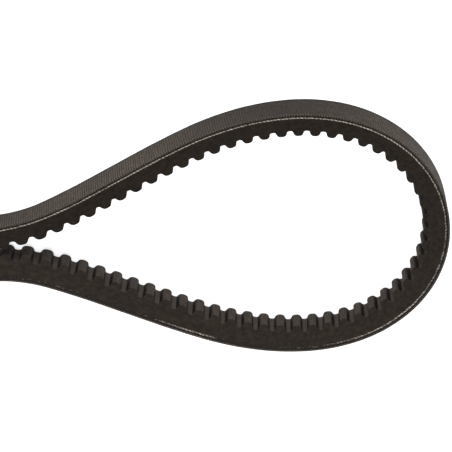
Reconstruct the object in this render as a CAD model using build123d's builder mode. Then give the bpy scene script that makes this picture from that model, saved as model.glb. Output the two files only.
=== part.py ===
from build123d import *
import os
from math import cos, pi, radians, sin, tan

# Raw-edge cogged V-belt, lying on its side and pinched at the waist.
# +Z is across the belt, along the pulley shafts.  +X runs to the right loop end.
# The origin is the centre of the loop, halfway across the belt.
# Depths are measured from the fabric back towards the cog tips.
# Places along the belt are counted in cogs from the right loop end, anticlockwise
# seen from +Z, on the line through the middle of the tensile cords.  That line
# keeps its length when the belt bends.  A valley lies at every whole number.

# Driving dimensions, in millimetres and degrees
top_width = 16.7
belt_depth = 10.6
flank_angle = 18
fabric_depth = 0.7
cord_line_depth = 1.6
cord_diameter = 1.0

cog_pitch = 7.4
valley_depth = 2.6
valley_mouth = 3.7
valley_floor = 2.3
valley_floor_radius = 1.0
cog_tip_radius = 0.9

# The loop is a chain of arcs, three cogs long each.  These are their bends from
# the right loop end to the waist.  The arc across the waist closes the quarter.
cogs_per_arc = 3
cogs_per_section = 9
quarter_bends = (26.5, 25, 21.5, 17.5, 12.5, 10, 3, 0, -3.5, -20)

# The belt flexes at the valleys between its rigid sections.  The loop is opened
# in one valley, beside the upper waist, where its two sides never move apart.
opened_valley = 31
flex_range = 18
wedge_margin = 1
hinge_gap = 0.3

# How far the cutting shapes reach past the belt, and how closely corners match
cut_margin = 2
match_distance = 0.01

# Values that follow from them
cords_top_depth = cord_line_depth - cord_diameter / 2
cords_floor_depth = cord_line_depth + cord_diameter / 2
arc_length = cogs_per_arc * cog_pitch
waist_bend = 2 * (90 - sum(quarter_bends))
half_bends = quarter_bends + (waist_bend,) + quarter_bends[::-1]
bends = half_bends * 2
cog_count = cogs_per_arc * len(bends)
section_ends = sorted([*range(0, cog_count + 1, cogs_per_section), opened_valley])


def arc_step(bend, length):
    """The move along an arc of the cord line: x ahead, y towards the cogs."""
    if bend == 0:
        return Location((length, 0, 0))
    radius = length / radians(bend)
    end = (radius * sin(radians(bend)), radius * (1 - cos(radians(bend))), 0)
    return Location(end, (0, 0, bend))


def walk_loop():
    """The place of every arc end, with the loop centred on the origin."""
    places = [Location((0, 0, 0), (0, 0, 90))]
    for bend in bends:
        places.append(places[-1] * arc_step(bend, arc_length))
    left_end = places[len(half_bends)].position
    centring = Location((-left_end.X / 2, -left_end.Y / 2, 0))
    return [centring * place for place in places]


arc_ends = walk_loop()


def place_at(cogs):
    """The place on the cord line at a whole number of cogs."""
    arc, rest = divmod(cogs % cog_count, cogs_per_arc)
    part_bend = bends[arc] * rest / cogs_per_arc
    return arc_ends[arc] * arc_step(part_bend, rest * cog_pitch)


def cross_plane(cogs):
    """The plane across the belt: x towards the cogs, y along +Z."""
    place = Plane(place_at(cogs))
    return Plane(origin=place.origin, x_dir=place.y_dir, z_dir=place.x_dir)


def half_width(depth):
    return top_width / 2 - depth * tan(radians(flank_angle))


def cord_line(first_cog, last_cog):
    """The arcs of the cord line between two valleys, one after the other."""
    arc_joints = [cog for cog in range(first_cog + 1, last_cog) if cog % cogs_per_arc == 0]
    stops = [first_cog, *arc_joints, last_cog]
    with BuildLine() as line:
        for start, stop in zip(stops, stops[1:]):
            bend = bends[start // cogs_per_arc] * (stop - start) / cogs_per_arc
            length = (stop - start) * cog_pitch
            begin = Plane(place_at(start))
            if bend == 0:
                Line(begin.origin, place_at(stop).position)
            else:
                radius = length / radians(abs(bend))
                JernArc(start=begin.origin, tangent=begin.x_dir, radius=radius, arc_size=bend)
    return line.line


def layer_profile(cog, upper_depth, lower_depth):
    """The trapezoid between two depths, with the slope of the belt's flanks."""
    upper = upper_depth - cord_line_depth
    lower = lower_depth - cord_line_depth
    corners = [
        (upper, -half_width(upper_depth)),
        (lower, -half_width(lower_depth)),
        (lower, half_width(lower_depth)),
        (upper, half_width(upper_depth)),
    ]
    with BuildSketch(cross_plane(cog)) as profile:
        Polygon(*corners, align=None)
    return profile.sketch


def valley_profile():
    """One valley seen along +Z: a rounded trough with a flared mouth."""
    floor = belt_depth - valley_depth - cord_line_depth
    tips = belt_depth - cord_line_depth
    beyond = tips + cut_margin
    flare = valley_mouth / 2 + cut_margin
    with BuildSketch() as valley:
        with BuildLine():
            Polyline(
                (-valley_floor / 2, floor),
                (valley_floor / 2, floor),
                (valley_mouth / 2, tips),
                (flare, tips),
                (flare, beyond),
                (-flare, beyond),
                (-flare, tips),
                (-valley_mouth / 2, tips),
                close=True,
            )
        make_face()
        corners = valley.vertices()
        fillet(corners.group_by(Axis.Y)[0], valley_floor_radius)
        half_mouth = valley_mouth / 2
        mouth = corners.filter_by(lambda v: abs(abs(v.X) - half_mouth) < match_distance)
        fillet(mouth, cog_tip_radius)
    return valley.sketch


def end_corners(side, half_angle):
    """The outline cut away at a section's end, so that two sections can bend."""
    gap = hinge_gap / 2
    reach = belt_depth + cut_margin
    slope = reach * tan(radians(half_angle))
    return [
        (side * gap, 0),
        (side * (gap + slope), reach),
        (-side * reach, reach),
        (-side * reach, -reach),
        (side * (gap + slope), -reach),
    ]


def flex_share(cog):
    """How far the valley at a section's end bends, as a share of the loop end's."""
    if cog == opened_valley:
        return 0
    return cos(4 * pi * cog / cog_count)


def wedge_angle(cog):
    share = abs(flex_share(cog))
    if share == 0:
        return 0
    return share * flex_range / 2 + wedge_margin


def build_layer(first_cog, last_cog, upper_depth, lower_depth, valley_cogs=()):
    """One layer of one section: swept along the cord line, then cut to shape."""
    profile = layer_profile(first_cog, upper_depth, lower_depth)
    with BuildPart() as layer:
        add(sweep(sections=profile, path=cord_line(first_cog, last_cog)))
        for cog, side in ((first_cog, 1), (last_cog, -1)):
            with BuildSketch(Plane(place_at(cog))):
                Polygon(*end_corners(side, wedge_angle(cog)), align=None)
            extrude(amount=top_width, both=True, mode=Mode.SUBTRACT)
        for cog in valley_cogs:
            with BuildSketch(Plane(place_at(cog))):
                add(valley)
            extrude(amount=top_width, both=True, mode=Mode.SUBTRACT)
    return layer


valley = valley_profile()
plain_layers = {
    "back_fabric": (0, fabric_depth),
    "cushion_rubber": (fabric_depth, cords_top_depth),
    "tensile_cords": (cords_top_depth, cords_floor_depth),
}

os.makedirs("parts", exist_ok=True)
for number, (first_cog, last_cog) in enumerate(zip(section_ends, section_ends[1:]), 1):
    for name, (upper_depth, lower_depth) in plain_layers.items():
        layer = build_layer(first_cog, last_cog, upper_depth, lower_depth)
        layer.part.label = f"{name}_{number:02d}"
        export_step(layer.part, f"parts/{name}_{number:02d}.step")
    valley_cogs = range(first_cog, last_cog + 1)
    cog_rubber = build_layer(
        first_cog, last_cog, cords_floor_depth, belt_depth, valley_cogs
    )
    cog_rubber.part.label = f"cog_rubber_{number:02d}"
    export_step(cog_rubber.part, f"parts/cog_rubber_{number:02d}.step")
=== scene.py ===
from math import cos, pi, radians, tan

import bpy
import numpy as np
from mathutils import Matrix, Vector


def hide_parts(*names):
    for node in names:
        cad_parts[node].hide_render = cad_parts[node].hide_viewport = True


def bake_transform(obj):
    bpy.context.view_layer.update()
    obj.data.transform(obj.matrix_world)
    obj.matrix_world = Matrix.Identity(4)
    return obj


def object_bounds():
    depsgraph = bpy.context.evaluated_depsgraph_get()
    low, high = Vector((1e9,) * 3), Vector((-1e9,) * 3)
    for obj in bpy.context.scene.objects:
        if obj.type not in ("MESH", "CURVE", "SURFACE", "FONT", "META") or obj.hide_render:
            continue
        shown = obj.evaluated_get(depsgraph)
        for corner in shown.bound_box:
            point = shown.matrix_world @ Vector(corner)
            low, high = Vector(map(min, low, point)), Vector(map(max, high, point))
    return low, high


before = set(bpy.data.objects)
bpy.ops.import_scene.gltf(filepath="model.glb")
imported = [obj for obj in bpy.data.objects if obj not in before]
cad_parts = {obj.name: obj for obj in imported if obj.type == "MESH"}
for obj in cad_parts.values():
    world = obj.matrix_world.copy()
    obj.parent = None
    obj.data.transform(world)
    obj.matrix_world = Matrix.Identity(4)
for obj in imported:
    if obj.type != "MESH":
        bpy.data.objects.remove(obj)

cad_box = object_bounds()

# The belt in millimetres and degrees, as in the CAD model.  Places along it are
# in cogs from the right loop end, anticlockwise from above, on the cord line.
MM = 0.001
PITCH = 7.4
TOP_WIDTH = 16.7
BELT_DEPTH = 10.6
FLANK_ANGLE = 18
FABRIC_DEPTH = 0.7
CORDS_TOP = 1.1
CORD_LINE_DEPTH = 1.6
CORDS_FLOOR = 2.1
VALLEY_DEPTH = 2.6
COGS_PER_ARC = 3
COGS_PER_SECTION = 9
QUARTER_BENDS = (26.5, 25, 21.5, 17.5, 12.5, 10, 3, 0, -3.5, -20)
WAIST_BEND = 2 * (90 - sum(QUARTER_BENDS))
BENDS = 2 * (QUARTER_BENDS + (WAIST_BEND,) + QUARTER_BENDS[::-1])
COG_COUNT = COGS_PER_ARC * len(BENDS)
HALF_LOOP = COG_COUNT // 2
OPENED_VALLEY = 31
WHITE = (1, 1, 1, 1)
RANDOM_SEED = 7

random = np.random.default_rng(RANDOM_SEED)


# The cord line

def arc_ends():
    """Position and heading at every arc end, with the loop centred on zero."""
    x, y, heading = 0.0, 0.0, pi / 2
    ends = [(x, y, heading)]
    for bend in np.radians(BENDS):
        length = COGS_PER_ARC * PITCH
        chord = length * np.sinc(bend / 2 / pi)
        x += chord * np.cos(heading + bend / 2)
        y += chord * np.sin(heading + bend / 2)
        heading += bend
        ends.append((x, y, heading))
    ends = np.array(ends)
    ends[:, :2] -= ends[len(BENDS) // 2, :2] / 2
    return ends


ARC_ENDS = arc_ends()


def cord_line(cogs):
    """Positions, directions and inward normals at an array of places."""
    wrapped = np.mod(cogs, COG_COUNT)
    arc = np.minimum((wrapped // COGS_PER_ARC).astype(int), len(BENDS) - 1)
    rest = wrapped - arc * COGS_PER_ARC
    bend = np.radians(np.array(BENDS))[arc] * rest / COGS_PER_ARC
    chord = rest * PITCH * np.sinc(bend / 2 / pi)
    start = ARC_ENDS[arc]
    middle = start[:, 2] + bend / 2
    heading = start[:, 2] + bend
    position = start[:, :2] + chord[:, None] * np.stack([np.cos(middle), np.sin(middle)], 1)
    ahead = np.stack([np.cos(heading), np.sin(heading)], 1)
    inward = np.stack([-np.sin(heading), np.cos(heading)], 1)
    return position, ahead, inward


def half_width(depth):
    """Half the belt's width at a depth below the fabric back."""
    return TOP_WIDTH / 2 - depth * tan(radians(FLANK_ANGLE))


def smooth(low, high, value):
    """0 up to low, 1 from high on, and a smooth step between them."""
    step = np.clip((value - low) / (high - low), 0, 1)
    return step * step * (3 - 2 * step)


# The upper span twists a little on its way through the waist, about the back's
# lower edge, so that its upper edge leans outwards.
WAIST_LEAN = 5.5
LEAN_STARTS = 24.5
LEAN_FULL = 29.5


def leaned(cogs, depths, across):
    """Distances inward and upward from the cord line, with the waist's twist."""
    wrapped = np.mod(cogs, COG_COUNT)
    from_waist = HALF_LOOP / 2 - np.abs(wrapped - HALF_LOOP / 2)
    lean = radians(WAIST_LEAN) * smooth(LEAN_STARTS, LEAN_FULL, from_waist)
    lean = np.where(wrapped < HALF_LOOP, lean, 0)
    inward = depths * np.cos(lean) - (across + TOP_WIDTH / 2) * np.sin(lean)
    upward = depths * np.sin(lean) + (across + TOP_WIDTH / 2) * np.cos(lean)
    return inward - CORD_LINE_DEPTH, upward - TOP_WIDTH / 2


# Mesh building

SHARP_ANGLE = 38


def columns_between(first, last, per_cog):
    """Evenly spaced places between two ends, so many to a cog."""
    return np.linspace(first, last, int(round((last - first) * per_cog)) + 1)


def belt_mesh(name, cogs, depths, across, materials, face_material=None, extra=None):
    """A closed ring of points swept along the belt, with a cap at each end.

    cogs has one value per column.  depths and across have a row per column and a
    value per ring point.  face_material gives a material index per ring point.
    extra may add points and faces.  The belt attribute keeps (along, across,
    depth) in millimetres, so that every texture bends with the belt.
    """
    columns, ring = depths.shape
    inward_by, upward_by = leaned(cogs[:, None], depths, across)
    position, _, inward = cord_line(cogs)
    plan = position[:, None, :] + inward[:, None, :] * inward_by[:, :, None]
    points = np.concatenate([plan, upward_by[:, :, None]], 2).reshape(-1, 3)
    along = np.repeat(cogs * PITCH, ring)
    belt = np.stack([along, across.ravel(), depths.ravel()], 1)
    faces = []
    for column in range(columns - 1):
        base = column * ring
        for point in range(ring):
            here, there = base + point, base + (point + 1) % ring
            faces.append((here, there, ring + there, ring + here))
    side_faces = len(faces)
    faces.append(tuple(range(ring - 1, -1, -1)))
    faces.append(tuple((columns - 1) * ring + point for point in range(ring)))
    indices = [0] * len(faces)
    if face_material is not None:
        for face in range(side_faces):
            indices[face] = face_material[face % ring]
    if extra is not None:
        points, belt, faces = extra(points, belt, faces)
        indices += [0] * (len(faces) - len(indices))
    mesh = bpy.data.meshes.new(name)
    mesh.from_pydata((points * MM).tolist(), [], faces)
    attribute = mesh.attributes.new("belt", "FLOAT_VECTOR", "POINT")
    attribute.data.foreach_set("vector", belt.astype(np.float32).ravel())
    for material in materials:
        mesh.materials.append(material)
    mesh.polygons.foreach_set("material_index", indices)
    mesh.polygons.foreach_set("use_smooth", [True] * len(faces))
    mesh.set_sharp_from_angle(angle=radians(SHARP_ANGLE))
    mesh.update()
    obj = bpy.data.objects.new(name, mesh)
    bpy.context.scene.collection.objects.link(obj)
    return obj


def store(obj, name, values):
    """Keep a value per vertex for a material to read."""
    attribute = obj.data.attributes.new(name, "FLOAT", "POINT")
    attribute.data.foreach_set("value", values.astype(np.float32))


def ring_of(columns, outline):
    """The same ring for every column, from (depth, across) pairs."""
    outline = np.array(outline, float)
    depths = np.repeat(outline[None, :, 0], columns, 0)
    across = np.repeat(outline[None, :, 1], columns, 0)
    return depths, across


# Back fabric: a woven strip with softened edges and a frayed cut

FIBRES_PER_COG = 11
FIBRE_SIDES = 3
FIBRE_RADIUS = 0.028
FIBRE_LENGTHS = (0.12, 0.5)
FIBRE_LEAN = 0.5
FIBRE_LIFT = 0.3
FIBRE_BOW = 0.12
FIBRE_ROOT_INSET = 0.05
FIBRE_END_MARGIN = 0.1
FIBRE_TOP_MARGIN = 0.02

# Share of the length, and share of the radius there
FIBRE_TAPER = ((0.0, 1.0), (0.55, 0.8), (1.0, 0.15))

# Fibres take their colours from a place beyond the belt's edge.
FIBRE_PLACE = 40.0


def fibres(points, belt, faces, first, last):
    """Thin broken threads that stick out of the fabric's two cut edges."""
    count = int((last - first) * FIBRES_PER_COG)
    cogs = random.uniform(first + FIBRE_END_MARGIN, last - FIBRE_END_MARGIN, count)
    side = random.choice([-1.0, 1.0], count)
    depth = random.uniform(FIBRE_TOP_MARGIN, FABRIC_DEPTH, count)
    length = random.uniform(*FIBRE_LENGTHS, count)
    lean = random.normal(0, FIBRE_LEAN, count)
    lift = random.normal(0, FIBRE_LIFT, count)
    position, ahead, inward = cord_line(cogs)
    inward_by, upward_by = leaned(cogs, depth, side * (half_width(depth) - FIBRE_ROOT_INSET))
    new_points, new_belt, new_faces = [], [], []
    for i in range(count):
        root = np.append(position[i] + inward[i] * inward_by[i], upward_by[i])
        out = np.array([*(ahead[i] * lean[i] + inward[i] * lift[i]), side[i]])
        out /= np.linalg.norm(out)
        first_side = np.array([*ahead[i], 0.0])
        second_side = np.cross(out, first_side)
        start = len(points) + len(new_points)
        for station, width in FIBRE_TAPER:
            bow = second_side * FIBRE_BOW * length[i] * station * station
            centre = root + out * length[i] * station + bow
            for corner in range(FIBRE_SIDES):
                turn = corner * 2 * pi / FIBRE_SIDES
                offset = first_side * np.cos(turn) + second_side * np.sin(turn)
                new_points.append(centre + offset * FIBRE_RADIUS * width)
                new_belt.append((cogs[i] * PITCH, FIBRE_PLACE, depth[i]))
        tip = start + 2 * FIBRE_SIDES
        for low in range(start, tip, FIBRE_SIDES):
            high = low + FIBRE_SIDES
            for a in range(FIBRE_SIDES):
                b = (a + 1) % FIBRE_SIDES
                new_faces.append((low + a, low + b, high + b, high + a))
        new_faces.append(tuple(tip + a for a in reversed(range(FIBRE_SIDES))))
        new_faces.append(tuple(start + a for a in range(FIBRE_SIDES)))
    points = np.concatenate([points, np.array(new_points)])
    belt = np.concatenate([belt, np.array(new_belt)])
    return points, belt, faces + new_faces


FABRIC_COLUMNS = 40
BACK_POINTS = 25
EDGE_SOFTENING = 0.12
SHOULDER_DEPTH = 0.10
SHOULDER_INSET = 0.01
EDGE_MIDDLE_DEPTH = 0.38
WEAVE_DEPTH = 0.06
RIB_SPACING = 1.06
RIB_SLANT = 0.11
RIB_HEIGHT = 0.045
SLUB_HEIGHT = 0.02
SLUB_ALONG = 0.61
SLUB_ACROSS = 1.3
SLUB_BEND = 1.7
SLUB_BEND_ACROSS = 0.9


def weave_depths(along, across):
    """Depths of the woven back: slanted ribs with uneven slubs."""
    ribs = np.sin((along + RIB_SLANT * across) * 2 * pi / RIB_SPACING)
    bend = SLUB_BEND * np.sin(across * SLUB_BEND_ACROSS)
    slubs = np.sin(along * SLUB_ALONG + bend) * np.sin(across * SLUB_ACROSS)
    return WEAVE_DEPTH - RIB_HEIGHT * ribs - SLUB_HEIGHT * slubs


def build_back_fabric(name, first, last, material):
    cogs = columns_between(first, last, FABRIC_COLUMNS)
    edge = half_width(0)
    across_back = np.linspace(edge - EDGE_SOFTENING, EDGE_SOFTENING - edge, BACK_POINTS)
    cut_side = [
        (SHOULDER_DEPTH, edge - SHOULDER_INSET),
        (EDGE_MIDDLE_DEPTH, half_width(EDGE_MIDDLE_DEPTH)),
        (FABRIC_DEPTH, half_width(FABRIC_DEPTH)),
    ]
    outline = [(0.0, z) for z in across_back]
    outline += [(depth, -z) for depth, z in cut_side]
    outline += cut_side[::-1]
    depths, across = ring_of(len(cogs), outline)
    back = slice(0, len(across_back))
    along = (cogs * PITCH)[:, None]
    depths[:, back] += weave_depths(along, across[:, back])

    def fray(points, belt, faces):
        return fibres(points, belt, faces, first, last)

    return belt_mesh(name, cogs, depths, across, [material], extra=fray)


# Cushion rubber: a thin line of gum between the fabric and the cords

CUSHION_COLUMNS = 8
CUSHION_RECESS = 0.03


def build_cushion_rubber(name, first, last, material):
    cogs = columns_between(first, last, CUSHION_COLUMNS)
    top, floor = FABRIC_DEPTH, CORDS_TOP
    middle = (top + floor) / 2
    outline = []
    for side, depths_down in ((-1, (top, middle, floor)), (1, (floor, middle, top))):
        for depth in depths_down:
            outline.append((depth, side * (half_width(depth) - CUSHION_RECESS)))
    depths, across = ring_of(len(cogs), outline)
    return belt_mesh(name, cogs, depths, across, [material])


# Tensile cords: the turn that the flank cuts shows as a twisted line

CORD_COLUMNS = 28
CORD_POINTS = 11
CORD_INSET = 0.12
COVERED_BULGE = 0.05
CUT_BULGE = 0.13
CUT_DEPTH = 1.7
CUT_SPREAD = 0.28
TWIST_LENGTH = 1.9
CORD_PLIES = 3

# How much of the cut cord shows along the upper flank: (place in cogs, share).
# The lower flank has the same, the other way round.
CORD_SHOWS = (
    (-50, 1.0), (-36, 0.9), (-30, 0.0), (-26.5, 0.2), (-24, 0.0), (-21, 0.08), (-20, 0.45),
    (-18, 0.6), (-16.5, 0.0), (-13, 0.08), (-9.5, 0.3), (-8, 0.65), (-6, 0.8), (-4, 0.45),
    (-1, 0.4), (2, 0.75), (7, 1.0), (50, 1.0),
)


def exposure(cogs, side):
    """How much of the cut cord shows, from 0 to 1, at an array of places."""
    wrapped = side * (np.mod(cogs + HALF_LOOP, COG_COUNT) - HALF_LOOP)
    return np.interp(wrapped, *zip(*CORD_SHOWS))


def build_tensile_cords(name, first, last, material):
    cogs = columns_between(first, last, CORD_COLUMNS)
    turn = np.linspace(0, pi, CORD_POINTS)
    radius = (CORDS_FLOOR - CORDS_TOP) / 2
    depth_rows, across_rows, shown_rows = [], [], []
    twist = cogs * PITCH * 2 * pi / (TWIST_LENGTH * CORD_PLIES)
    for side in (-1, 1):
        shown = exposure(cogs, side)
        angles = turn if side < 0 else turn[::-1]
        for angle in angles:
            depth = CORD_LINE_DEPTH - radius * cos(angle)
            lobes = np.abs(np.cos(CORD_PLIES * (twist + angle * side) / 2))
            bulge = np.sin(angle) * (COVERED_BULGE + CUT_BULGE * shown * lobes)
            across = side * (half_width(depth) - CORD_INSET + bulge)
            depth_rows.append(np.full(len(cogs), depth))
            across_rows.append(across)
            shown_rows.append(shown * np.exp(-((depth - CUT_DEPTH) / CUT_SPREAD) ** 2))
    depths = np.stack(depth_rows, 1)
    across = np.stack(across_rows, 1)
    obj = belt_mesh(name, cogs, depths, across, [material])
    store(obj, "shown", np.stack(shown_rows, 1).ravel())
    return obj


# Cog rubber: ground flanks and moulded cogs

VALLEY_FLOOR = 2.3
VALLEY_MOUTH = 3.7
VALLEY_ROUNDING = 0.85
TIP_ROUNDING = 1.6
CORNER_POINTS = 7
FLANK_ROWS = 6
INNER_POINTS = 13
END_MARGIN = 1e-6
WALL_SLOPES = (0.6, 1.8)


def rounded_corner(corner, before, after, reach):
    """Points along a corner that is rounded off over a distance from it."""
    corner, before, after = (np.array(point, float) for point in (corner, before, after))
    start = corner + (before - corner) * reach / np.linalg.norm(before - corner)
    end = corner + (after - corner) * reach / np.linalg.norm(after - corner)
    step = np.linspace(0, 1, CORNER_POINTS)[:, None]
    return (1 - step) ** 2 * start + 2 * step * (1 - step) * corner + step ** 2 * end


def cog_outline():
    """(along, depth) from one valley's middle to the next, once along the belt."""
    floor = BELT_DEPTH - VALLEY_DEPTH
    bottom = (VALLEY_FLOOR / 2, floor)
    top = (VALLEY_MOUTH / 2, BELT_DEPTH)
    middle = (PITCH / 2, BELT_DEPTH)
    valley = rounded_corner(bottom, (0, floor), top, VALLEY_ROUNDING)
    tip = rounded_corner(top, bottom, middle, TIP_ROUNDING)
    half = np.concatenate([[(0, floor)], valley, tip, [middle]])
    mirrored = np.stack([PITCH - half[-2::-1, 0], half[-2::-1, 1]], 1)
    return np.concatenate([half, mirrored])


def build_cog_rubber(name, first, last, flank, moulded):
    """The level attribute is 1 on cog tips and valley floors, and 0 on steep walls, where the
    moulded material paints shade.
    """
    outline = cog_outline()
    cogs, floors = [], []
    for cog in range(int(np.floor(first)), int(np.ceil(last))):
        for along, depth in outline[:-1]:
            cogs.append(cog + along / PITCH)
            floors.append(depth)
    cogs.append(np.ceil(last))
    floors.append(outline[0, 1])
    cogs, floors = np.array(cogs), np.array(floors)
    keep = (cogs > first + END_MARGIN) & (cogs < last - END_MARGIN)
    ends = np.interp([first, last], cogs, floors)
    cogs = np.concatenate([[first], cogs[keep], [last]])
    floors = np.concatenate([[ends[0]], floors[keep], [ends[1]]])
    rows = np.linspace(0, 1, FLANK_ROWS)
    depth_columns, across_columns = [], []
    for side, order in ((-1, rows), (1, rows[::-1])):
        if side > 0:
            for share in np.linspace(-1, 1, INNER_POINTS)[1:-1]:
                depth_columns.append(floors)
                across_columns.append(share * half_width(floors))
        for row in order:
            depth = CORDS_FLOOR + (floors - CORDS_FLOOR) * row
            depth_columns.append(depth)
            across_columns.append(side * half_width(depth))
    depths = np.stack(depth_columns, 1)
    across = np.stack(across_columns, 1)
    ring = depths.shape[1]
    kinds = [0] * ring
    for point in range(FLANK_ROWS - 1, FLANK_ROWS - 1 + INNER_POINTS - 1):
        kinds[point] = 1
    obj = belt_mesh(name, cogs, depths, across, [flank, moulded], kinds)
    slope = np.abs(np.gradient(floors, cogs * PITCH))
    level = 1 - smooth(*WALL_SLOPES, slope)
    store(obj, "level", np.repeat(level, ring))
    return obj


# Materials.  Colours are linear red, green, blue and alpha.

THREAD_SPACING = 1.3
WEAVE_SHARE = 0.42
GRAIN_SHARE = 0.5
STROKE_SHARE = 0.6

# The back is darker in evenly spaced stretches.
DARK_STRETCHES = 6
DARK_STRETCH_SPACING = COG_COUNT * PITCH / DARK_STRETCHES
DARK_STRETCH_PHASE = -0.6
LOWER_EDGE_DARK_WIDTH = 2.4
TIP_ZONE = (TOP_WIDTH / 2 - 1.4, TOP_WIDTH / 2 - 0.3)
FABRIC_HOLLOW = (0.0030, 0.0022, 0.0017, 1)
FABRIC_THREAD = (0.088, 0.0690, 0.0550, 1)
FABRIC_PATCH = (0.016, 0.0125, 0.0103, 1)
FABRIC_DARK_STRETCH = (0.0115, 0.0088, 0.0070, 1)
FABRIC_LOWER_EDGE_DARK = (0.0085, 0.0080, 0.0066, 1)
FABRIC_TIP = (0.120, 0.097, 0.078, 1)
FABRIC_CUT = (0.085, 0.068, 0.056, 1)
FABRIC_SPECK = (0.24, 0.20, 0.16, 1)

CUSHION_DARK = (0.007, 0.0055, 0.0048, 1)
CUSHION_PALE = (0.020, 0.016, 0.013, 1)

PLY_SPACING = 1.5
CORD_HOLLOW = (0.20, 0.175, 0.145, 1)
CORD_CREAM = (0.58, 0.52, 0.445, 1)
CORD_DUST = (0.075, 0.062, 0.050, 1)
CORD_COVERED = (0.017, 0.0135, 0.011, 1)

FLANK_DARK = (0.0098, 0.0069, 0.0048, 1)
FLANK_PALE = (0.0255, 0.0188, 0.0134, 1)
FLANK_SCORE = (0.027, 0.022, 0.018, 1)
FLANK_FLOCK = (0.060, 0.048, 0.038, 1)

COG_DARK = (0.010, 0.0074, 0.0058, 1)
COG_STREAK = (0.048, 0.037, 0.0295, 1)
COG_BLOOM = (0.050, 0.040, 0.0325, 1)
# Painted light on the valley floors, growing paler towards the floor over these depths in
# millimetres.
VALLEY_FLOOR_LIGHT = (0.052, 0.040, 0.033, 1)
VALLEY_FLOOR_LIGHT_DEPTHS = (8.05, 8.5)
# Painted shade on the steep valley walls.
VALLEY_WALL_PAINTED_SHADE = (0.0040, 0.0017, 0.0009, 1)

FLOOR_DARK = (0.68, 0.68, 0.68, 1)
FLOOR_PALE = (0.72, 0.72, 0.72, 1)
FLOOR_GLOW = 0.75

# The wave texture repeats after this much at a scale of 1.
WAVE_PERIOD = 2 * pi / 20
WAVE_DETAIL = 3.0
WAVE_DETAIL_SCALE = 0.9


class Shader:
    """A material's nodes, added one call at a time."""

    def __init__(self, name):
        self.material = bpy.data.materials.new(name)
        self.material.use_nodes = True
        self.nodes = self.material.node_tree.nodes
        self.links = self.material.node_tree.links
        self.surface = self.nodes["Principled BSDF"]

    def add(self, kind, inputs=None, **settings):
        """A new node, with its settings, and values or links on its inputs."""
        node = self.nodes.new(kind)
        for name, value in settings.items():
            setattr(node, name, value)
        for name, value in (inputs or {}).items():
            self.put(value, node.inputs[name])
        return node

    def put(self, value, socket):
        if isinstance(value, bpy.types.NodeSocket):
            self.links.new(value, socket)
        else:
            socket.default_value = value

    def belt(self, along=1.0, across=1.0, depth=1.0):
        """The belt's own coordinates, in millimetres, scaled in each direction."""
        source = self.add("ShaderNodeAttribute", attribute_name="belt")
        scaled = self.add("ShaderNodeVectorMath", operation="MULTIPLY")
        self.links.new(source.outputs["Vector"], scaled.inputs[0])
        scaled.inputs[1].default_value = (along, across, depth)
        return scaled.outputs[0]

    def slanted(self, along, across, depth):
        """The belt's coordinates, scaled and added up, as a first direction.

        Their mean is the second one, so that distortion varies across the bands.
        """
        source = self.add("ShaderNodeAttribute", attribute_name="belt")
        total = self.add("ShaderNodeVectorMath", operation="DOT_PRODUCT")
        self.links.new(source.outputs["Vector"], total.inputs[0])
        total.inputs[1].default_value = (along, across, depth)
        joined = self.add("ShaderNodeCombineXYZ")
        self.links.new(total.outputs["Value"], joined.inputs["X"])
        self.links.new(source.outputs["Fac"], joined.inputs["Y"])
        return joined.outputs[0]

    def noise(self, vector, scale=1.0, detail=3.0, roughness=0.55):
        node = self.add("ShaderNodeTexNoise", {
            "Vector": vector, "Scale": scale, "Detail": detail, "Roughness": roughness,
        })
        return node.outputs["Fac"]

    def bands(self, vector, spacing, distortion=0.0, phase=0.0):
        """Even bands along the vector's first direction, this far apart."""
        node = self.add("ShaderNodeTexWave", {
            "Vector": vector, "Scale": WAVE_PERIOD / spacing, "Distortion": distortion,
            "Detail": WAVE_DETAIL, "Detail Scale": WAVE_DETAIL_SCALE, "Phase Offset": phase,
        })
        return node.outputs["Fac"]

    def value(self, name):
        """A value that store() kept at each vertex."""
        return self.add("ShaderNodeAttribute", attribute_name=name).outputs["Fac"]

    def shine(self, level):
        self.surface.inputs["Specular IOR Level"].default_value = level

    def math(self, operation, a, b):
        node = self.add("ShaderNodeMath", operation=operation)
        self.put(a, node.inputs[0])
        self.put(b, node.inputs[1])
        return node.outputs[0]

    def fade(self, value, low, high, to_low=0.0, to_high=1.0):
        """A straight change from to_low to to_high as the value goes low to high."""
        node = self.add("ShaderNodeMapRange", {
            "Value": value, "From Min": low, "From Max": high,
            "To Min": to_low, "To Max": to_high,
        })
        return node.outputs["Result"]

    def mix(self, share, a, b):
        """Colour a where the share is 0, and colour b where it is 1.

        The node's sockets go by number, since several of them share a name.
        """
        node = self.add("ShaderNodeMix", data_type="RGBA")
        share_socket, a_socket, b_socket = (node.inputs[i] for i in (0, 6, 7))
        self.put(share, share_socket)
        self.put(a, a_socket)
        self.put(b, b_socket)
        return node.outputs[2]

    def finish(self, colour, roughness, height, bump=0.4, distance=0.0001):
        """Join colour, roughness and relief to the surface.  Distance is in metres."""
        relief = self.add("ShaderNodeBump", {
            "Height": height, "Strength": bump, "Distance": distance,
        })
        self.put(colour, self.surface.inputs["Base Color"])
        self.put(roughness, self.surface.inputs["Roughness"])
        self.links.new(relief.outputs["Normal"], self.surface.inputs["Normal"])
        return self.material


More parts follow.
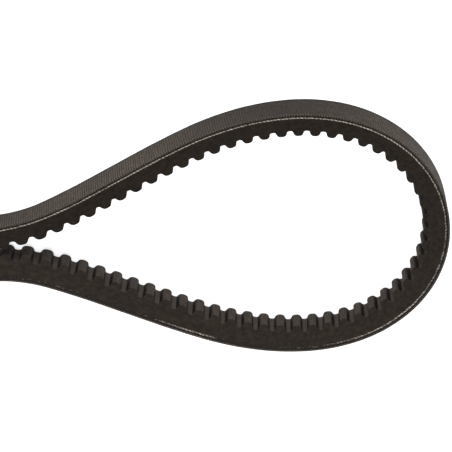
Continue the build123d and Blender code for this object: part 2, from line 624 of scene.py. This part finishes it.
def back_fabric_material():
    """Woven fabric wiped with rubber: paler thread tops, darker towards its lower edge."""
    shader = Shader("back_fabric")
    plain = shader.belt()
    along = shader.slanted(1.0, 0.0, 0.0)
    ribs = shader.bands(shader.slanted(1.0, RIB_SLANT, 0.0), RIB_SPACING, distortion=2.6)
    threads = shader.bands(shader.slanted(-0.35, 1.0, 1.0), THREAD_SPACING, distortion=2.0)
    weave = shader.math("MULTIPLY", ribs, shader.fade(threads, 0.0, 1.0, 0.25, 1.0))
    strokes = shader.noise(shader.belt(across=0.3), roughness=0.65)
    grain = shader.noise(plain, scale=1.1, detail=5.0, roughness=0.75)
    patches = shader.noise(plain, scale=0.09)
    grained = shader.math("MULTIPLY", grain, GRAIN_SHARE)
    stroked = shader.math("MULTIPLY", strokes, STROKE_SHARE)
    woven = shader.math("MULTIPLY", weave, WEAVE_SHARE)
    worn = shader.math("ADD", woven, shader.math("ADD", grained, stroked))
    colour = shader.mix(shader.fade(worn, 0.45, 0.95), FABRIC_HOLLOW, FABRIC_THREAD)
    colour = shader.mix(shader.fade(patches, 0.4, 0.7, 0.0, 0.3), colour, FABRIC_PATCH)
    dark_stretch = shader.bands(along, DARK_STRETCH_SPACING, phase=DARK_STRETCH_PHASE)
    colour = shader.mix(shader.fade(dark_stretch, 0.2, 1.0, 0.0, 0.68), colour, FABRIC_DARK_STRETCH)
    place = shader.add("ShaderNodeSeparateXYZ", {"Vector": plain})
    across, depth = place.outputs["Y"], place.outputs["Z"]
    # Darker towards the lower edge.
    lower_edge = -TOP_WIDTH / 2
    edge_darkening = shader.fade(across, lower_edge, lower_edge + LOWER_EDGE_DARK_WIDTH, 1.0, 0.0)
    colour = shader.mix(edge_darkening, colour, FABRIC_LOWER_EDGE_DARK)
    ends = shader.bands(along, RIB_SPACING, distortion=1.0)
    near_edge = shader.fade(across, *TIP_ZONE)
    tips = shader.math("MULTIPLY", near_edge, shader.fade(ends, 0.45, 0.9, 0.0, 0.5))
    colour = shader.mix(tips, colour, FABRIC_TIP)
    cut_threads = shader.fade(ends, 0.3, 0.8, 0.15, 0.8)
    cut_edge = shader.math("MULTIPLY", shader.fade(depth, 0.08, 0.2), cut_threads)
    colour = shader.mix(cut_edge, colour, FABRIC_CUT)
    specks = shader.noise(plain, scale=3.9, detail=1.0)
    colour = shader.mix(shader.fade(specks, 0.70, 0.78, 0.0, 0.7), colour, FABRIC_SPECK)
    height = shader.math("ADD", weave, shader.math("MULTIPLY", grain, 0.6))
    roughness = shader.fade(grain, 0.3, 0.7, 0.8, 0.96)
    shader.shine(0.08)
    shader.surface.inputs["Sheen Weight"].default_value = 0.03
    shader.surface.inputs["Sheen Roughness"].default_value = 0.5
    return shader.finish(colour, roughness, height, bump=0.8, distance=0.00012)


def cushion_rubber_material():
    """Dull black gum with a fine grain."""
    shader = Shader("cushion_rubber")
    grain = shader.noise(shader.belt(along=0.5, depth=2.0), scale=3.0)
    colour = shader.mix(grain, CUSHION_DARK, CUSHION_PALE)
    shader.shine(0.1)
    return shader.finish(colour, shader.fade(grain, 0.3, 0.7, 0.7, 0.9), grain)


def tensile_cords_material():
    """Cream twisted cord, dusted with rubber, and dark where it isn't exposed."""
    shader = Shader("tensile_cords")
    plies = shader.bands(shader.slanted(1.0, 0.6, 1.4), PLY_SPACING, distortion=2.5)
    dust = shader.noise(shader.belt(along=0.3), scale=1.6, detail=4.0, roughness=0.7)
    cream = shader.mix(shader.fade(plies, 0.1, 0.75), CORD_HOLLOW, CORD_CREAM)
    cream = shader.mix(shader.fade(dust, 0.48, 0.72, 0.0, 0.8), cream, CORD_DUST)
    shown = shader.value("shown")
    ragged = shader.math("ADD", shown, shader.fade(dust, 0.25, 0.75, 0.35, -0.35))
    colour = shader.mix(shader.fade(ragged, 0.15, 0.95), CORD_COVERED, cream)
    roughness = shader.fade(dust, 0.3, 0.7, 0.75, 0.92)
    shader.shine(0.15)
    return shader.finish(colour, roughness, plies, bump=0.6, distance=0.00012)


def flank_material():
    """Rubber ground to size: dark, matt, scored along the belt, faintly mottled."""
    shader = Shader("ground_flank")
    scored = shader.belt(along=0.10, depth=3.2)
    scores = shader.noise(scored, scale=1.4, detail=5.0, roughness=0.65)
    mottle = shader.noise(shader.belt(along=0.7), scale=0.6, detail=5.0, roughness=0.7)
    flock = shader.noise(shader.belt(), scale=4.2, detail=2.0, roughness=0.6)
    colour = shader.mix(shader.fade(mottle, 0.35, 0.65), FLANK_DARK, FLANK_PALE)
    colour = shader.mix(shader.fade(scores, 0.45, 0.7, 0.0, 0.3), colour, FLANK_SCORE)
    colour = shader.mix(shader.fade(flock, 0.62, 0.74, 0.0, 0.5), colour, FLANK_FLOCK)
    height = shader.math("ADD", scores, shader.math("MULTIPLY", flock, 0.5))
    roughness = shader.fade(scores, 0.3, 0.7, 0.62, 0.82)
    shader.shine(0.12)
    return shader.finish(colour, roughness, height, bump=0.45, distance=0.00009)


def moulded_material():
    """Cogs as the mould left them, streaked across the belt, with painted shade on the steep
    walls and painted light on the valley floors.
    """
    shader = Shader("moulded_cog")
    plain = shader.belt()
    streaked = shader.belt(along=2.2, across=0.10, depth=2.2)
    streaks = shader.noise(streaked, scale=1.5, detail=4.0, roughness=0.6)
    grain = shader.noise(plain, scale=3.4, roughness=0.6)
    bloom = shader.noise(plain, scale=0.24, detail=2.0)
    colour = shader.mix(shader.fade(streaks, 0.3, 0.72), COG_DARK, COG_STREAK)
    colour = shader.mix(shader.fade(bloom, 0.4, 0.7, 0.0, 0.4), colour, COG_BLOOM)
    depth = shader.add("ShaderNodeSeparateXYZ", {"Vector": plain}).outputs["Z"]
    # The dust share here is painted light, paler towards the valley floors.
    dust = shader.fade(depth, *VALLEY_FLOOR_LIGHT_DEPTHS, 0.4, 0.0)
    colour = shader.mix(dust, colour, VALLEY_FLOOR_LIGHT)
    # Painted shade: the steep walls, where level falls to 0, take the wall colour.
    colour = shader.mix(shader.value("level"), VALLEY_WALL_PAINTED_SHADE, colour)
    height = shader.math("ADD", streaks, shader.math("MULTIPLY", grain, 0.5))
    roughness = shader.fade(grain, 0.3, 0.7, 0.6, 0.8)
    shader.shine(0.07)
    return shader.finish(colour, roughness, height, bump=0.5, distance=0.00012)


def floor_material():
    """A pale floor that glows a little, so that it meets the surround unseen."""
    shader = Shader("pale_floor")
    position = shader.add("ShaderNodeTexCoord").outputs["Object"]
    grain = shader.noise(position, scale=180.0)
    colour = shader.mix(grain, FLOOR_DARK, FLOOR_PALE)
    shader.surface.inputs["Emission Color"].default_value = WHITE
    shader.surface.inputs["Emission Strength"].default_value = FLOOR_GLOW
    return shader.finish(colour, shader.fade(grain, 0.3, 0.7, 0.8, 0.9), grain, bump=0.02)


# Camera, light and floor

CAMERA_TILT = 25.8
CAMERA_TURN = 4.3
CAMERA_YAW = 1.0
CAMERA_DISTANCE = 0.84
CAMERA_AIM = Vector((0.107, 0.003, 0.0))
CAMERA_LENS = 163
SENSOR_WIDTH = 36.0
CLIP_START = 0.01

FLOOR_REACH = 3.0
FLOOR_GAP = 0.0002

# The surround's strength by how high one looks: nearly white at the horizon,
# and dimmer above it.
SURROUND = {"From Min": 0.08, "From Max": 0.28, "To Min": 0.95, "To Max": 0.28}

# Place, target and size in metres, and power in watts
KEY_LIGHT = ((0.15, 0.9, 0.45), (0.08, 0, 0), 0.5, 7.5)
TOP_LIGHT = ((0.1, 0.1, 1.3), (0.1, 0, 0), 0.9, 10.5)


def add_camera():
    """Looks down on the belt's side, tilted so that its +Y faces show."""
    data = bpy.data.cameras.new("camera")
    data.sensor_width = SENSOR_WIDTH
    data.lens = CAMERA_LENS
    data.clip_start = CLIP_START
    camera = bpy.data.objects.new("camera", data)
    bpy.context.scene.collection.objects.link(camera)
    turn = Matrix.Rotation(radians(-CAMERA_TURN), 3, "Z")
    tilt = Matrix.Rotation(radians(-CAMERA_TILT), 3, "X")
    yaw = Matrix.Rotation(radians(CAMERA_YAW), 3, "Y")
    rotation = turn @ tilt @ yaw
    place = CAMERA_AIM + rotation @ Vector((0, 0, CAMERA_DISTANCE))
    camera.matrix_world = Matrix.Translation(place) @ rotation.to_4x4()
    bpy.context.scene.camera = camera


def add_light(name, place, target, size, power):
    data = bpy.data.lights.new(name, "AREA")
    data.shape = "DISK"
    data.size = size
    data.energy = power
    light = bpy.data.objects.new(name, data)
    bpy.context.scene.collection.objects.link(light)
    light.location = place
    direction = Vector(target) - Vector(place)
    light.rotation_euler = direction.to_track_quat("-Z", "Y").to_euler()


def add_floor():
    """A square of pale floor, a hair below the belt."""
    low, high = cad_box
    middle = (low + high) / 2
    level = low.z - FLOOR_GAP
    corners = [
        (middle.x + x * FLOOR_REACH, middle.y + y * FLOOR_REACH, level)
        for x, y in ((-1, -1), (1, -1), (1, 1), (-1, 1))
    ]
    mesh = bpy.data.meshes.new("floor")
    mesh.from_pydata(corners, [], [(0, 1, 2, 3)])
    mesh.materials.append(floor_material())
    floor = bpy.data.objects.new("floor", mesh)
    bpy.context.scene.collection.objects.link(floor)


def add_surround():
    """White light from all round, fading with height above the horizon."""
    world = bpy.data.worlds.new("surround")
    world.use_nodes = True
    nodes, links = world.node_tree.nodes, world.node_tree.links
    background = nodes["Background"]
    direction = nodes.new("ShaderNodeTexCoord")
    split = nodes.new("ShaderNodeSeparateXYZ")
    fade = nodes.new("ShaderNodeMapRange")
    for name, value in SURROUND.items():
        fade.inputs[name].default_value = value
    links.new(direction.outputs["Generated"], split.inputs["Vector"])
    links.new(split.outputs["Z"], fade.inputs["Value"])
    links.new(fade.outputs["Result"], background.inputs["Strength"])
    background.inputs["Color"].default_value = WHITE
    bpy.context.scene.world = world


bpy.context.scene.view_settings.view_transform = "Standard"
add_camera()
add_floor()
add_surround()
add_light("key", *KEY_LIGHT)
add_light("top", *TOP_LIGHT)


# The belt's skins: one piece of each layer across every hinge.  Two of them end
# at the opened valley, each a hair short of it.

OPENED_GAP = 0.004


def section_names():
    """Body name by (first cog, last cog), in the CAD model's order."""
    ends = sorted([*range(0, COG_COUNT + 1, COGS_PER_SECTION), OPENED_VALLEY])
    return {pair: f"section_{number:02d}" for number, pair in enumerate(zip(ends, ends[1:]), 1)}


SECTIONS = section_names()


def neighbours(hinge):
    """The bodies before and after a hinge, and the piece's two ends, in cogs."""
    before = next(pair for pair in SECTIONS if pair[1] % COG_COUNT == hinge)
    after = next(pair for pair in SECTIONS if pair[0] == hinge)
    first = hinge - COGS_PER_SECTION / 2
    last = hinge + COGS_PER_SECTION / 2
    if before[0] == OPENED_VALLEY:
        first = OPENED_VALLEY + OPENED_GAP
    if after[1] == OPENED_VALLEY:
        last = OPENED_VALLEY - OPENED_GAP
    return SECTIONS[before], SECTIONS[after], first, last


def join_bodies(obj):
    """Bake a piece's transform into its mesh."""
    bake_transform(obj)


MATERIALS = {
    "back_fabric": [back_fabric_material()],
    "cushion_rubber": [cushion_rubber_material()],
    "tensile_cords": [tensile_cords_material()],
    "cog_rubber": [flank_material(), moulded_material()],
}
BUILDERS = {
    "back_fabric": build_back_fabric,
    "cushion_rubber": build_cushion_rubber,
    "tensile_cords": build_tensile_cords,
    "cog_rubber": build_cog_rubber,
}

# Past the left loop end places are counted backwards from the right one, so that
# the textures run on through the right end and meet beside the left end.
for hinge in range(0, COG_COUNT, COGS_PER_SECTION):
    before, after, first, last = neighbours(hinge)
    shift = -COG_COUNT if hinge > HALF_LOOP else 0
    for layer, build in BUILDERS.items():
        skin = build(f"{layer}_skin_{hinge:03d}", first + shift, last + shift, *MATERIALS[layer])
        join_bodies(skin)
        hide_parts(*[f"{layer}_{body[-2:]}" for body in (before, after)])
